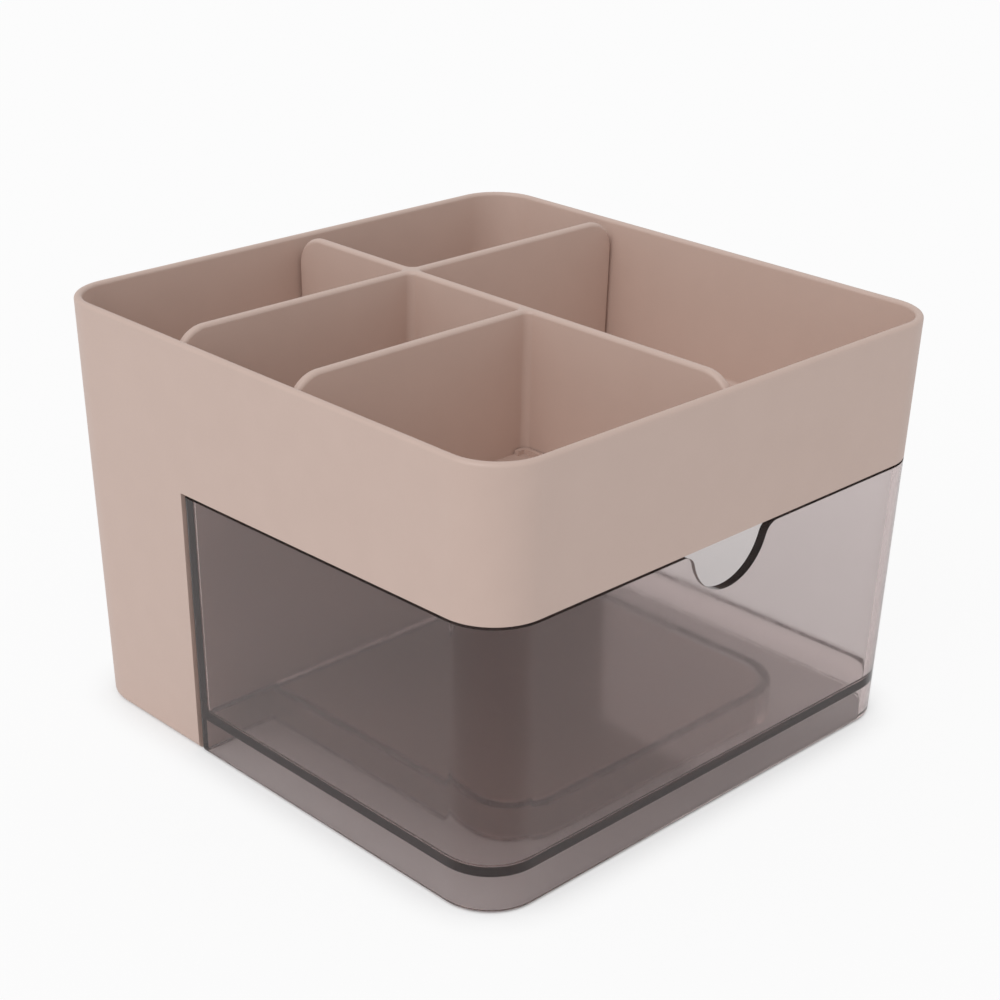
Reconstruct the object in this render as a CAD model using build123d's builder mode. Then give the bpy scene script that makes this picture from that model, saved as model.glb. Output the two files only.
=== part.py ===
"""Desk organizer: a moulded body with a divided tray on top and a smoked drawer that closes its front.

Millimetres. The front looks along -Y, +X is to the right of somebody who faces it, +Z is up, and the origin
lies on the table under the middle of the body.
"""

import math
import os

from build123d import *

# Outer form, shared by the body and by the drawer, which is flush with it
top_width = 152.0  # left to right over the rim
top_depth = 155.2  # front to back over the rim
height = 108.4  # table to rim
wall_lean = 1.48  # degrees by which every outer wall leans in on its way down
corner_radius = 13.6  # upright corners, seen from above

# Body moulding
wall = 2.1
rim_round = 0.95
foot_round = 1.6  # lower edge of the rear block
band_low = 71.9  # lower edge of the band over the drawer, at the front
bay_draft = 1.0  # degrees by which that edge falls towards the rear
tray_floor = 73.2  # top of the tray floor
tray_round = 1.5  # tray floor into the walls
deck = 2.2  # tray floor over the hollow of the rear block
leg_front = 29.0  # front face of the rear block

# Low tongue of the body, under the drawer floor
tongue_width = 95.4
tongue_front = -55.5
tongue_height = 8.8
tongue_corner = 11.8
tongue_wall = 2.0
tongue_round = 1.0

# Divider insert, a cross of thin walls that stands on the tray floor
divider = 2.4  # thickness of its walls
insert_rise = 0.9  # its top edge over the rim
insert_gap = 0.5  # between the wall ends and the tray
cross_wall_y = 31.2  # middle of the wall that runs left to right
short_wall_y = -10.4  # middle of the short wall on the left
end_radius = 8.5  # upper corners at the wall ends
foot_chamfer = 2.4  # lower corners at the wall ends, clear of the rounding of the tray floor
crossing_round = 2.0  # where two walls meet, seen from above
top_round = 1.0

# Ribs on the tray floor that hold the foot of the front to back wall
rib_height = 1.2
rib_width = 1.3
rib_gap = 0.3
rib_reach = 5.0  # along the crossing walls, from the middle
rib_end_gap = 16.0  # from the tray walls

# Drawer
drawer_wall = 2.2
drawer_lift = 0.3  # lower edge over the table
drawer_top_gap = 0.7  # under the band
drawer_rear_gap = 0.5  # in front of the rear block
drawer_floor = 2.0
tongue_gap = 0.3  # drawer floor over the tongue
guide_wall = 2.6  # rib under the floor, round the tongue, that guides the drawer
guide_gap = 0.6  # between that rib and the tongue
drawer_foot_round = 0.8
drawer_rear_round = 1.8  # upright corners at the rear
drawer_inner_round = 1.6  # floor into the walls

# Finger notch in the top of the drawer front
notch_radius = 13.0
notch_centre_z = 72.0
notch_lead_in = 4.0

# How much longer or wider than a size an edge may be and still count as having it
like = 1.01

# Sizes that follow from the ones above
lean = math.tan(math.radians(wall_lean))
bay_slope = math.tan(math.radians(bay_draft))
half_depth = top_depth / 2
insert_top = height + insert_rise
drawer_rear = leg_front - drawer_rear_gap
floor_under = tongue_height + tongue_gap
floor_top = floor_under + drawer_floor
reach = 2 * top_width  # longer than the object, for cuts that run right through it


def width_at(z: float) -> float:
    """Outer width, left to right, at a height."""
    return top_width - 2 * (height - z) * lean


def depth_at(z: float) -> float:
    """Outer depth, front to back, at a height."""
    return top_depth - 2 * (height - z) * lean


def bay_top_at(y: float) -> float:
    """Height of the lower edge of the band at a distance from the middle."""
    return band_low - (y + half_depth) * bay_slope


def leaning_block(low: float, high: float, inset: float) -> Part:
    """Solid that follows the leaning walls between two heights, drawn in by the inset all round."""
    with BuildPart() as block:
        for z in (low, high):
            with BuildSketch(Plane.XY.offset(z)):
                RectangleRounded(width_at(z) - 2 * inset, depth_at(z) - 2 * inset, corner_radius - inset)
        loft()
    return block.part


def cross_plan(spread: float) -> Sketch:
    """Walls of the divider insert seen from above, each thickened by the spread on both sides."""
    thickness = divider + 2 * spread
    with BuildSketch() as plan:
        Rectangle(thickness, top_depth)
        with Locations((0, cross_wall_y)):
            Rectangle(top_width, thickness)
        with Locations((0, short_wall_y)):
            Rectangle(top_width / 2, thickness, align=(Align.MAX, Align.CENTER))
        inner = [v for v in plan.vertices() if abs(v.X) < thickness and abs(v.Y) < half_depth - wall]
        fillet(inner, crossing_round - spread)
    return plan.sketch


def tongue_block(high: float, rear: float, spread: float) -> Part:
    """Solid from the table up with the tongue's outline, grown by the spread on its front and sides."""
    with BuildPart() as block:
        with BuildSketch():
            with Locations((0, rear)):
                Rectangle(
                    tongue_width + 2 * spread,
                    rear - tongue_front + spread,
                    align=(Align.CENTER, Align.MAX),
                )
            fillet(vertices().group_by(Axis.Y)[0], tongue_corner + spread)
        extrude(amount=high)
    return block.part


def is_upright(edge: Edge) -> bool:
    """Whether an edge runs mainly up and down."""
    return edge.bounding_box().size.Z > edge.length / 2


# Solids that the body is cut from, or cut with
with BuildPart() as outer_block:
    add(leaning_block(0, height, 0))
    fillet(outer_block.faces().sort_by(Axis.Z)[0].edges(), foot_round)

with BuildPart() as tray_core:
    add(leaning_block(tray_floor, height, wall))
    fillet(tray_core.faces().sort_by(Axis.Z)[0].edges(), tray_round)

with BuildPart() as rear_hollow:
    add(leaning_block(0, tray_floor - deck, wall))
    split(bisect_by=Plane((0, leg_front + wall, 0), z_dir=(0, 1, 0)), keep=Keep.TOP)

with BuildPart() as tongue:
    add(tongue_block(tongue_height, leg_front + wall / 2, 0))
    rounded = tongue.faces().sort_by(Axis.Z)[-1].edges().sort_by(Axis.Y)[:-1]
    fillet(rounded, tongue_round)
    add(tongue_block(tongue_height - tongue_wall, leg_front, -tongue_wall), mode=Mode.SUBTRACT)

with BuildPart() as foot_ribs:
    with BuildSketch(Plane.XY.offset(tray_floor)):
        Rectangle(2 * rib_reach, depth_at(tray_floor) - 2 * (wall + rib_end_gap))
        add(cross_plan(rib_gap + rib_width), mode=Mode.INTERSECT)
        add(cross_plan(rib_gap), mode=Mode.SUBTRACT)
    extrude(amount=rib_height)

# Body: band and tray on top, rear block down to the table, tongue along the table under the drawer
with BuildPart() as body_shell:
    add(outer_block.part)
    add(tray_core.part, mode=Mode.SUBTRACT)
    with BuildSketch(Plane.YZ):
        with BuildLine():
            Polyline(
                (-reach, -reach),
                (leg_front, -reach),
                (leg_front, bay_top_at(leg_front)),
                (-reach, bay_top_at(-reach)),
                close=True,
            )
        make_face()
    extrude(amount=reach, both=True, mode=Mode.SUBTRACT)
    add(rear_hollow.part, mode=Mode.SUBTRACT)
    fillet(body_shell.faces().sort_by(Axis.Z)[-1].edges(), rim_round)
    add(tongue.part)
    add(foot_ribs.part)

# Divider insert: the cross, trimmed to the tray and rounded where fingers meet it
with BuildPart() as insert_envelope:
    add(leaning_block(tray_floor, insert_top, wall + insert_gap))
    fillet(insert_envelope.faces().sort_by(Axis.Z)[-1].edges(), end_radius)
    chamfer(insert_envelope.faces().sort_by(Axis.Z)[0].edges(), foot_chamfer)

with BuildPart() as divider_insert:
    with BuildSketch(Plane.XY.offset(tray_floor)):
        add(cross_plan(0))
    extrude(amount=insert_top - tray_floor)
    add(insert_envelope.part, mode=Mode.INTERSECT)
    above_foot = [e for e in edges() if e.bounding_box().min.Z > tray_floor + foot_chamfer / 2]
    across = [e for e in above_foot if e.geom_type != GeomType.CIRCLE and e.length < like * divider]
    fillet([e for e in above_foot if e not in across], top_round)

# Drawer: one smoked moulding, flush with the body, with a raised floor, a skirt down to the table and a
# guide rib under the floor, open to the rear, in which the tongue lies
drawer_top = Plane((0, -half_depth, band_low - drawer_top_gap), z_dir=(0, bay_slope, 1))

with BuildPart() as drawer_cavity:
    add(leaning_block(floor_top, height, drawer_wall))
    split(bisect_by=Plane((0, drawer_rear - drawer_wall, 0), z_dir=(0, -1, 0)), keep=Keep.TOP)
    rear_uprights = drawer_cavity.faces().sort_by(Axis.Y)[-1].edges().filter_by(is_upright)
    fillet(rear_uprights, drawer_rear_round)
    fillet(drawer_cavity.faces().sort_by(Axis.Z)[0].edges(), drawer_inner_round)

with BuildPart() as skirt_hollow:
    add(leaning_block(0, floor_under, drawer_wall))
    split(bisect_by=Plane((0, drawer_rear - drawer_wall, 0), z_dir=(0, -1, 0)), keep=Keep.TOP)

with BuildPart() as guide_rib:
    add(tongue_block(floor_under, drawer_rear, guide_gap + guide_wall))
    add(tongue_block(drawer_lift, drawer_rear, guide_gap + guide_wall), mode=Mode.SUBTRACT)

with BuildPart() as drawer:
    add(leaning_block(drawer_lift, height, 0))
    split(bisect_by=Plane((0, drawer_rear, 0), z_dir=(0, -1, 0)), keep=Keep.TOP)
    rear_uprights = drawer.faces().sort_by(Axis.Y)[-1].edges().filter_by(is_upright)
    fillet(rear_uprights, drawer_rear_round)
    fillet(drawer.faces().sort_by(Axis.Z)[0].edges(), drawer_foot_round)
    split(bisect_by=drawer_top, keep=Keep.BOTTOM)
    add(drawer_cavity.part, mode=Mode.SUBTRACT)
    add(skirt_hollow.part, mode=Mode.SUBTRACT)
    add(guide_rib.part)
    add(tongue_block(floor_under, reach, guide_gap), mode=Mode.SUBTRACT)
    with BuildSketch(Plane.XZ):
        with Locations((0, notch_centre_z)):
            Circle(notch_radius)
        with Locations((0, band_low - drawer_top_gap)):
            Rectangle(top_width / 2, height, align=(Align.CENTER, Align.MIN))
        mouth = [v for v in vertices() if abs(v.X) < like * notch_radius]
        fillet(mouth, notch_lead_in)
    extrude(amount=reach, mode=Mode.SUBTRACT)

pieces = {"body_shell": body_shell, "divider_insert": divider_insert, "drawer": drawer}
os.makedirs("parts", exist_ok=True)
for label, piece in pieces.items():
    piece.part.label = label
    export_step(piece.part, f"parts/{label}.step")
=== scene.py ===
"""Looks of a desk organizer: a pink beige moulded body with a lift-out divider and a smoked clear drawer.

Metres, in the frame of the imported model: the front looks along -Y, +X is to the right of somebody who faces
it, +Z is up, and the origin lies on the table under the middle of the body.
"""

import logging
import math
from dataclasses import dataclass, field
from enum import Enum
from typing import Any

import bmesh
import bpy
from mathutils import Matrix, Vector


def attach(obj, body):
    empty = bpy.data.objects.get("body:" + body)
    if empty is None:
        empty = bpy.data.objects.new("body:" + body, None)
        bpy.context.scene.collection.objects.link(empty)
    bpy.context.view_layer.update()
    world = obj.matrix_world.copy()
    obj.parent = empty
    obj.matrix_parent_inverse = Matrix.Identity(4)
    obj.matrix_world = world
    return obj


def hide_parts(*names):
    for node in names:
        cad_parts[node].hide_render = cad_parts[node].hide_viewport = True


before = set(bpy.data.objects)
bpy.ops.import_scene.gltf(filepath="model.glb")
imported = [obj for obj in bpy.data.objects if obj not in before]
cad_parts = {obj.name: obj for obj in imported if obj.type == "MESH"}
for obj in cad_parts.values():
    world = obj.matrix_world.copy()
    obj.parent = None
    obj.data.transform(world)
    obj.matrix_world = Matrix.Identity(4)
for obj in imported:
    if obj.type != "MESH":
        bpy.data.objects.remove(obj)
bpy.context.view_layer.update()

MM = 0.001
WHITE = "#FFFFFF"

# The values between which a noise texture mostly stays
NOISE_LOW = 0.3
NOISE_HIGH = 0.7

log = logging.getLogger("desk_organizer")


def linear(hex_colour: str) -> tuple[float, float, float, float]:
    """Turns an sRGB colour into the linear one that the renderer reads.

    Args:
        hex_colour: Six hex digits, as #RRGGBB.

    Returns:
        Red, green, blue and an alpha of 1.
    """
    channels = []
    for start in (1, 3, 5):
        value = int(hex_colour[start : start + 2], 16) / 255
        channels.append(value / 12.92 if value <= 0.04045 else ((value + 0.055) / 1.055) ** 2.4)
    return (*channels, 1.0)


def add_node(
    tree: bpy.types.NodeTree,
    kind: str,
    inputs: dict[Any, Any] | None = None,
    **settings: Any,
) -> bpy.types.Node:
    """Adds a node with its settings, values and links.

    Args:
        tree: The node tree that gets the node.
        kind: The node's type name.
        inputs: Values or output sockets by the name or number of the input that takes them.
        **settings: The node's own properties.

    Returns:
        The new node.
    """
    made = tree.nodes.new(kind)
    for name, value in settings.items():
        setattr(made, name, value)
    for name, value in (inputs or {}).items():
        if isinstance(value, bpy.types.NodeSocket):
            tree.links.new(value, made.inputs[name])
        else:
            made.inputs[name].default_value = value
    return made


def new_material(name: str) -> tuple[bpy.types.Material, bpy.types.NodeTree]:
    """Makes a material with nothing in its tree.

    Args:
        name: The material's name.

    Returns:
        The material and its node tree.
    """
    material = bpy.data.materials.new(name)
    material.use_nodes = True
    material.node_tree.nodes.clear()
    return material, material.node_tree


class Ray(Enum):
    """The kinds of ray that a material or the dome answers in a way of their own, by their socket's name."""

    STRAIGHT = "Is Camera Ray"
    MIRRORED = "Is Glossy Ray"
    THROUGH = "Is Transmission Ray"
    SHADOW = "Is Shadow Ray"


def rays(tree: bpy.types.NodeTree, *kinds: Ray) -> bpy.types.NodeSocket:
    """Tells some kinds of ray from the others.

    Args:
        tree: The node tree that gets the nodes.
        *kinds: The kinds of ray.

    Returns:
        A value of 1 for those rays and of 0 for the others.
    """
    path = add_node(tree, "ShaderNodeLightPath")
    found = path.outputs[kinds[0].value]
    for kind in kinds[1:]:
        either = add_node(tree, "ShaderNodeMath", {0: found, 1: path.outputs[kind.value]}, operation="MAXIMUM")
        found = either.outputs["Value"]
    return found


class Shading(Enum):
    """How the facets of a curved face are smoothed, by the angle in degrees that stays an edge."""

    MOULDED = 24.0
    CLEAR = 30.0


@dataclass(frozen=True)
class MattMoulding:
    """Injection-moulded ABS from a spark-eroded mould: an even, faintly grained matt with a soft sheen."""

    name: str = "moulded_abs_pink_beige"
    colour: str = "#CCB3A7"
    mottle_colour: str = "#CAB1A5"
    mottle_mm: float = 9.0
    mottle_detail: float = 3.0
    grain_mm: float = 0.45  # the real grain is about 0.1 mm, too fine for the picture, so it is drawn coarser
    grain_detail: float = 2.0
    grain_depth_mm: float = 0.012
    flow_mm: float = 28.0  # the shallow waves of a moulded wall
    flow_detail: float = 1.0
    flow_depth_mm: float = 0.03
    roughness_low: float = 0.44
    roughness_high: float = 0.56
    ior: float = 1.5
    specular: float = 0.85
    sheen: float = 0.05

    def build(self) -> bpy.types.Material:
        """Builds the material, whose grain breaks up the highlights along the rounded edges.

        Returns:
            The material.
        """
        material, tree = new_material(self.name)
        place = add_node(tree, "ShaderNodeTexCoord").outputs["Object"]
        grain = add_node(
            tree,
            "ShaderNodeTexNoise",
            {"Vector": place, "Scale": 1 / (self.grain_mm * MM), "Detail": self.grain_detail},
        )
        roughness = add_node(
            tree,
            "ShaderNodeMapRange",
            {
                "Value": grain.outputs["Fac"],
                "From Min": NOISE_LOW,
                "From Max": NOISE_HIGH,
                "To Min": self.roughness_low,
                "To Max": self.roughness_high,
            },
        )
        flow = add_node(
            tree,
            "ShaderNodeTexNoise",
            {"Vector": place, "Scale": 1 / (self.flow_mm * MM), "Detail": self.flow_detail},
        )
        waves = add_node(
            tree, "ShaderNodeBump", {"Height": flow.outputs["Fac"], "Distance": self.flow_depth_mm * MM}
        )
        bump = add_node(
            tree,
            "ShaderNodeBump",
            {
                "Height": grain.outputs["Fac"],
                "Distance": self.grain_depth_mm * MM,
                "Normal": waves.outputs["Normal"],
            },
        )
        surface = add_node(
            tree,
            "ShaderNodeBsdfPrincipled",
            {
                "Base Color": self._mottled(tree, place),
                "Roughness": roughness.outputs["Result"],
                "IOR": self.ior,
                "Specular IOR Level": self.specular,
                "Sheen Weight": self.sheen,
                "Normal": bump.outputs["Normal"],
            },
        )
        add_node(tree, "ShaderNodeOutputMaterial", {"Surface": surface.outputs["BSDF"]})
        return material

    def _mottled(self, tree: bpy.types.NodeTree, place: bpy.types.NodeSocket) -> bpy.types.NodeSocket:
        """Mixes the two shades of the plastic by a noise.

        Args:
            tree: The material's node tree.
            place: The place on the object.

        Returns:
            The mixed colour.
        """
        mottle = add_node(
            tree,
            "ShaderNodeTexNoise",
            {"Vector": place, "Scale": 1 / (self.mottle_mm * MM), "Detail": self.mottle_detail},
        )
        ramp = add_node(tree, "ShaderNodeValToRGB", {"Fac": mottle.outputs["Fac"]})
        first, last = ramp.color_ramp.elements
        first.position, last.position = NOISE_LOW, NOISE_HIGH
        first.color, last.color = linear(self.mottle_colour), linear(self.colour)
        return ramp.outputs["Color"]


@dataclass(frozen=True)
class SmokedClear:
    """Injection-moulded acrylic with a smoke dye, from a polished mould: glossy, and darker where light goes
    further through it, so that cut edges and upright corners look almost black."""

    name: str = "moulded_acrylic_smoked_clear"
    wall_mm: float = 2.27  # the way through one wall at the slant of the view
    wall_colour: str = "#EEE7E6"  # what is left of white light after that way
    density: float = 200.0  # per metre, high enough for the absorption colour to stay between 0 and 1
    clear_share: float = 0.975  # the dye scatters the rest, which lifts the darkest parts a little
    shadow_colour: str = "#A4A2A2"  # what one surface lets through to light that only passes
    ior: float = 1.5
    specular_tint: str = "#E0C4C1"  # the dye browns what the cut edges mirror
    roughness_low: float = 0.05
    roughness_high: float = 0.09
    haze_mm: float = 6.0  # patches in which the polish is a little duller
    haze_detail: float = 4.0
    flow_mm: float = 22.0  # the shallow waves of a moulded wall
    flow_detail: float = 1.0
    flow_depth_mm: float = 0.05

    def absorption(self) -> tuple[float, float, float, float]:
        """Works out the absorption colour that leaves wall_colour after wall_mm.

        Returns:
            The colour for the density.
        """
        way = self.wall_mm * MM
        left = linear(self.wall_colour)[:3]
        return (*(1 + math.log(channel) / (way * self.density) for channel in left), 1.0)

    def build(self) -> bpy.types.Material:
        """Builds the material. Shadow rays pass straight through it, so that light reaches the drawer's inside.

        Returns:
            The material.
        """
        material, tree = new_material(self.name)
        place = add_node(tree, "ShaderNodeTexCoord").outputs["Object"]
        haze = add_node(
            tree,
            "ShaderNodeTexNoise",
            {"Vector": place, "Scale": 1 / (self.haze_mm * MM), "Detail": self.haze_detail},
        )
        roughness = add_node(
            tree,
            "ShaderNodeMapRange",
            {
                "Value": haze.outputs["Fac"],
                "From Min": NOISE_LOW,
                "From Max": NOISE_HIGH,
                "To Min": self.roughness_low,
                "To Max": self.roughness_high,
            },
        )
        flow = add_node(
            tree,
            "ShaderNodeTexNoise",
            {"Vector": place, "Scale": 1 / (self.flow_mm * MM), "Detail": self.flow_detail},
        )
        waves = add_node(
            tree, "ShaderNodeBump", {"Height": flow.outputs["Fac"], "Distance": self.flow_depth_mm * MM}
        )
        surface = add_node(
            tree,
            "ShaderNodeBsdfPrincipled",
            {
                "Base Color": linear(WHITE),
                "Roughness": roughness.outputs["Result"],
                "IOR": self.ior,
                "Specular Tint": linear(self.specular_tint),
                "Transmission Weight": self.clear_share,
                "Normal": waves.outputs["Normal"],
            },
        )
        through = add_node(tree, "ShaderNodeBsdfTransparent", {"Color": linear(self.shadow_colour)})
        mixed = add_node(
            tree,
            "ShaderNodeMixShader",
            {0: rays(tree, Ray.SHADOW), 1: surface.outputs["BSDF"], 2: through.outputs["BSDF"]},
        )
        dye = add_node(
            tree, "ShaderNodeVolumeAbsorption", {"Color": self.absorption(), "Density": self.density}
        )
        add_node(
            tree,
            "ShaderNodeOutputMaterial",
            {"Surface": mixed.outputs["Shader"], "Volume": dye.outputs["Volume"]},
        )
        return material


@dataclass(frozen=True)
class BackdropShare:
    """How much of the backdrop's white some kinds of ray see in place of the shaded board, by how much of the
    sky is open over a spot: nothing at covered, and most at open_sky."""

    kinds: tuple[Ray, ...]
    covered: float
    open_sky: float
    most: float

    def build(self, tree: bpy.types.NodeTree, sky: bpy.types.NodeSocket) -> bpy.types.NodeSocket:
        """Adds the nodes that work it out.

        Args:
            tree: The board's node tree.
            sky: The share of the sky over the spot.

        Returns:
            The share for those rays, and 0 for the others.
        """
        clear = add_node(
            tree,
            "ShaderNodeMapRange",
            {"Value": sky, "From Min": self.covered, "From Max": self.open_sky, "To Max": self.most},
        )
        share = add_node(
            tree,
            "ShaderNodeMath",
            {0: clear.outputs["Result"], 1: rays(tree, *self.kinds)},
            operation="MULTIPLY",
        )
        return share.outputs["Value"]


@dataclass(frozen=True)
class PaleBoard:
    """Matt white board that is as white as the backdrop, apart from the soft shadow close to the object."""

    name: str = "matt_white_board"
    colour: str = "#E9E9EA"
    backdrop_level: float = 0.995
    shadow_reach_mm: float = 16.0
    samples: int = 8
    straight: BackdropShare = BackdropShare((Ray.STRAIGHT,), covered=0.0, open_sky=0.8, most=0.92)
    in_plastic: BackdropShare = BackdropShare(
        (Ray.MIRRORED, Ray.THROUGH), covered=0.2, open_sky=0.8, most=0.45
    )

    def build(self) -> bpy.types.Material:
        """Builds the material.

        Returns:
            The material.
        """
        material, tree = new_material(self.name)
        board = add_node(tree, "ShaderNodeBsdfDiffuse", {"Color": linear(self.colour)})
        backdrop = add_node(tree, "ShaderNodeEmission", {"Strength": self.backdrop_level})
        sky = add_node(
            tree,
            "ShaderNodeAmbientOcclusion",
            {"Distance": self.shadow_reach_mm * MM},
            samples=self.samples,
        ).outputs["AO"]
        shares = {0: self.straight.build(tree, sky), 1: self.in_plastic.build(tree, sky)}
        share = add_node(tree, "ShaderNodeMath", shares, operation="ADD")
        both = add_node(
            tree,
            "ShaderNodeMixShader",
            {0: share.outputs["Value"], 1: board.outputs["BSDF"], 2: backdrop.outputs["Emission"]},
        )
        add_node(tree, "ShaderNodeOutputMaterial", {"Surface": both.outputs["Shader"]})
        return material


@dataclass
class MouldedPiece:
    """A moulding whose shape is right in the CAD model: a joined-up copy of its node with softened edges."""

    node: str
    body: str
    material_slot: str
    name: str
    edge_mm: float
    shading: Shading
    weld_mm: float = 0.001
    flat_angle: float = 0.3  # degrees between neighbours that count as one flat face
    edge_angle: float = 40.0  # degrees from which an edge counts as sharp
    edge_segments: int = 3

    def build(self, material: bpy.types.Material) -> bpy.types.Object:
        """Makes the piece and puts it on its body in place of the CAD node.

        Args:
            material: The finish of the piece.

        Returns:
            The new object.
        """
        mesh = self.joined_mesh()
        mesh.name = self.name
        mesh.materials.clear()
        mesh.materials.append(material)
        piece = bpy.data.objects.new(self.name, mesh)
        bpy.context.scene.collection.objects.link(piece)
        self.soften(piece)
        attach(piece, self.body)
        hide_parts(self.node)
        log.info("%s: %d faces on body %s", self.name, len(mesh.polygons), self.body)
        return piece

    def joined_mesh(self) -> bpy.types.Mesh:
        """Copies the node's triangles, joins them up and cuts flat faces anew, without slivers or folds.

        Returns:
            The mesh.
        """
        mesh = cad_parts[self.node].data.copy()
        shell = bmesh.new()
        shell.from_mesh(mesh)
        bmesh.ops.remove_doubles(shell, verts=shell.verts, dist=self.weld_mm * MM)
        bmesh.ops.dissolve_limit(
            shell,
            angle_limit=math.radians(self.flat_angle),
            verts=shell.verts,
            edges=shell.edges,
            use_dissolve_boundaries=False,
        )
        bmesh.ops.triangulate(shell, faces=shell.faces, quad_method="BEAUTY", ngon_method="BEAUTY")
        limit = math.radians(self.shading.value)
        for face in shell.faces:
            face.smooth = True
        for edge in shell.edges:
            edge.smooth = edge.is_manifold and edge.calc_face_angle() < limit
        shell.to_mesh(mesh)
        shell.free()
        return mesh

    def soften(self, piece: bpy.types.Object) -> None:
        """Gives the sharp edges their small moulded round, and the faces even normals.

        Args:
            piece: The piece.
        """
        round_over = piece.modifiers.new("moulded_edges", "BEVEL")
        round_over.width = self.edge_mm * MM
        round_over.segments = self.edge_segments
        round_over.limit_method = "ANGLE"
        round_over.angle_limit = math.radians(self.edge_angle)
        even = piece.modifiers.new("even_normals", "WEIGHTED_NORMAL")
        even.keep_sharp = True


@dataclass(frozen=True)
class Organizer:
    """The organizer: a matt body with its tray, a matt divider that lifts out, and a smoked drawer."""

    matt: MattMoulding = MattMoulding()
    smoked: SmokedClear = SmokedClear()

    def build(self) -> list[bpy.types.Object]:
        """Builds the three mouldings.

        Returns:
            The pieces.
        """
        matt, smoked = self.matt.build(), self.smoked.build()
        tray_body = MouldedPiece(
            node="body_shell",
            body="body",
            material_slot="body",
            name="tray_body",
            edge_mm=0.25,
            shading=Shading.MOULDED,
        )
        divider_cross = MouldedPiece(
            node="divider_insert",
            body="insert",
            material_slot="insert",
            name="divider_cross",
            edge_mm=0.2,
            shading=Shading.MOULDED,
        )
        smoked_drawer = MouldedPiece(
            node="drawer",
            body="drawer",
            material_slot="drawer",
            name="smoked_drawer",
            edge_mm=0.3,
            shading=Shading.CLEAR,
        )
        return [tray_body.build(matt), divider_cross.build(matt), smoked_drawer.build(smoked)]


@dataclass
class Studio:
    """White table, soft daylight dome, one soft key from the left and the camera of the photograph."""

    azimuth: float = -44.641  # degrees; 0 looks along +Y
    elevation: float = 23.584
    roll: float = 1.058
    distance: float = 0.508503
    aim: Vector = field(default_factory=lambda: Vector((0.001056, -0.001043, 0.055815)))
    lens_mm: float = 72.38
    sensor_mm: float = 36.0
    near_clip: float = 0.01
    floor_radius: float = 4.0
    floor_segments: int = 96
    dome_level: float = 0.704
    key_strength: float = 0.85
    key_from: Vector = field(default_factory=lambda: Vector((-0.76, -0.10, 0.64)))
    key_spread: float = 40.0  # degrees

    def place_camera(self) -> None:
        """Sets the camera at the photograph's viewing angle."""
        azimuth, elevation, roll = (math.radians(a) for a in (self.azimuth, self.elevation, self.roll))
        towards = Vector(
            (
                math.sin(azimuth) * math.cos(elevation),
                -math.cos(azimuth) * math.cos(elevation),
                math.sin(elevation),
            )
        )
        level = Vector((math.cos(azimuth), math.sin(azimuth), 0))
        upright = towards.cross(level)
        right = math.cos(roll) * level + math.sin(roll) * upright
        up = math.cos(roll) * upright - math.sin(roll) * level
        data = bpy.data.cameras.new("photo_camera")
        data.lens = self.lens_mm
        data.sensor_width = self.sensor_mm
        data.clip_start = self.near_clip
        camera = bpy.data.objects.new("photo_camera", data)
        turn = Matrix((right, up, towards)).transposed().to_4x4()
        camera.matrix_world = Matrix.Translation(self.aim + towards * self.distance) @ turn
        bpy.context.scene.collection.objects.link(camera)
        bpy.context.scene.camera = camera

    def light(self) -> None:
        """Adds the key light and the dome, which is white to the camera, also through clear plastic."""
        lamp = bpy.data.lights.new("soft_key", "SUN")
        lamp.energy = self.key_strength
        lamp.angle = math.radians(self.key_spread)
        key = bpy.data.objects.new("soft_key", lamp)
        key.rotation_euler = self.key_from.to_track_quat("Z", "Y").to_euler()
        bpy.context.scene.collection.objects.link(key)

        world = bpy.data.worlds.new("white_dome")
        bpy.context.scene.world = world
        world.use_nodes = True
        tree = world.node_tree
        tree.nodes.clear()
        level = add_node(
            tree,
            "ShaderNodeMapRange",
            {"Value": rays(tree, Ray.STRAIGHT, Ray.THROUGH), "To Min": self.dome_level, "To Max": 1.0},
        )
        sky = add_node(
            tree, "ShaderNodeBackground", {"Color": linear(WHITE), "Strength": level.outputs["Result"]}
        )
        add_node(tree, "ShaderNodeOutputWorld", {"Surface": sky.outputs["Background"]})

    def lay_floor(self) -> None:
        """Lays the white table under the object."""
        sheet = bmesh.new()
        bmesh.ops.create_circle(
            sheet, cap_ends=True, segments=self.floor_segments, radius=self.floor_radius
        )
        mesh = bpy.data.meshes.new("white_table")
        sheet.to_mesh(mesh)
        sheet.free()
        mesh.materials.append(PaleBoard().build())
        floor = bpy.data.objects.new("white_table", mesh)
        bpy.context.scene.collection.objects.link(floor)

    def build(self) -> None:
        """Sets up the whole studio."""
        self.place_camera()
        self.light()
        self.lay_floor()
        bpy.context.scene.view_settings.view_transform = "Standard"


def main() -> None:
    """Builds the studio and the organizer."""
    logging.basicConfig(level=logging.INFO, format="%(name)s: %(message)s")
    Studio().build()
    Organizer().build()


if __name__ == "__main__":
    main()
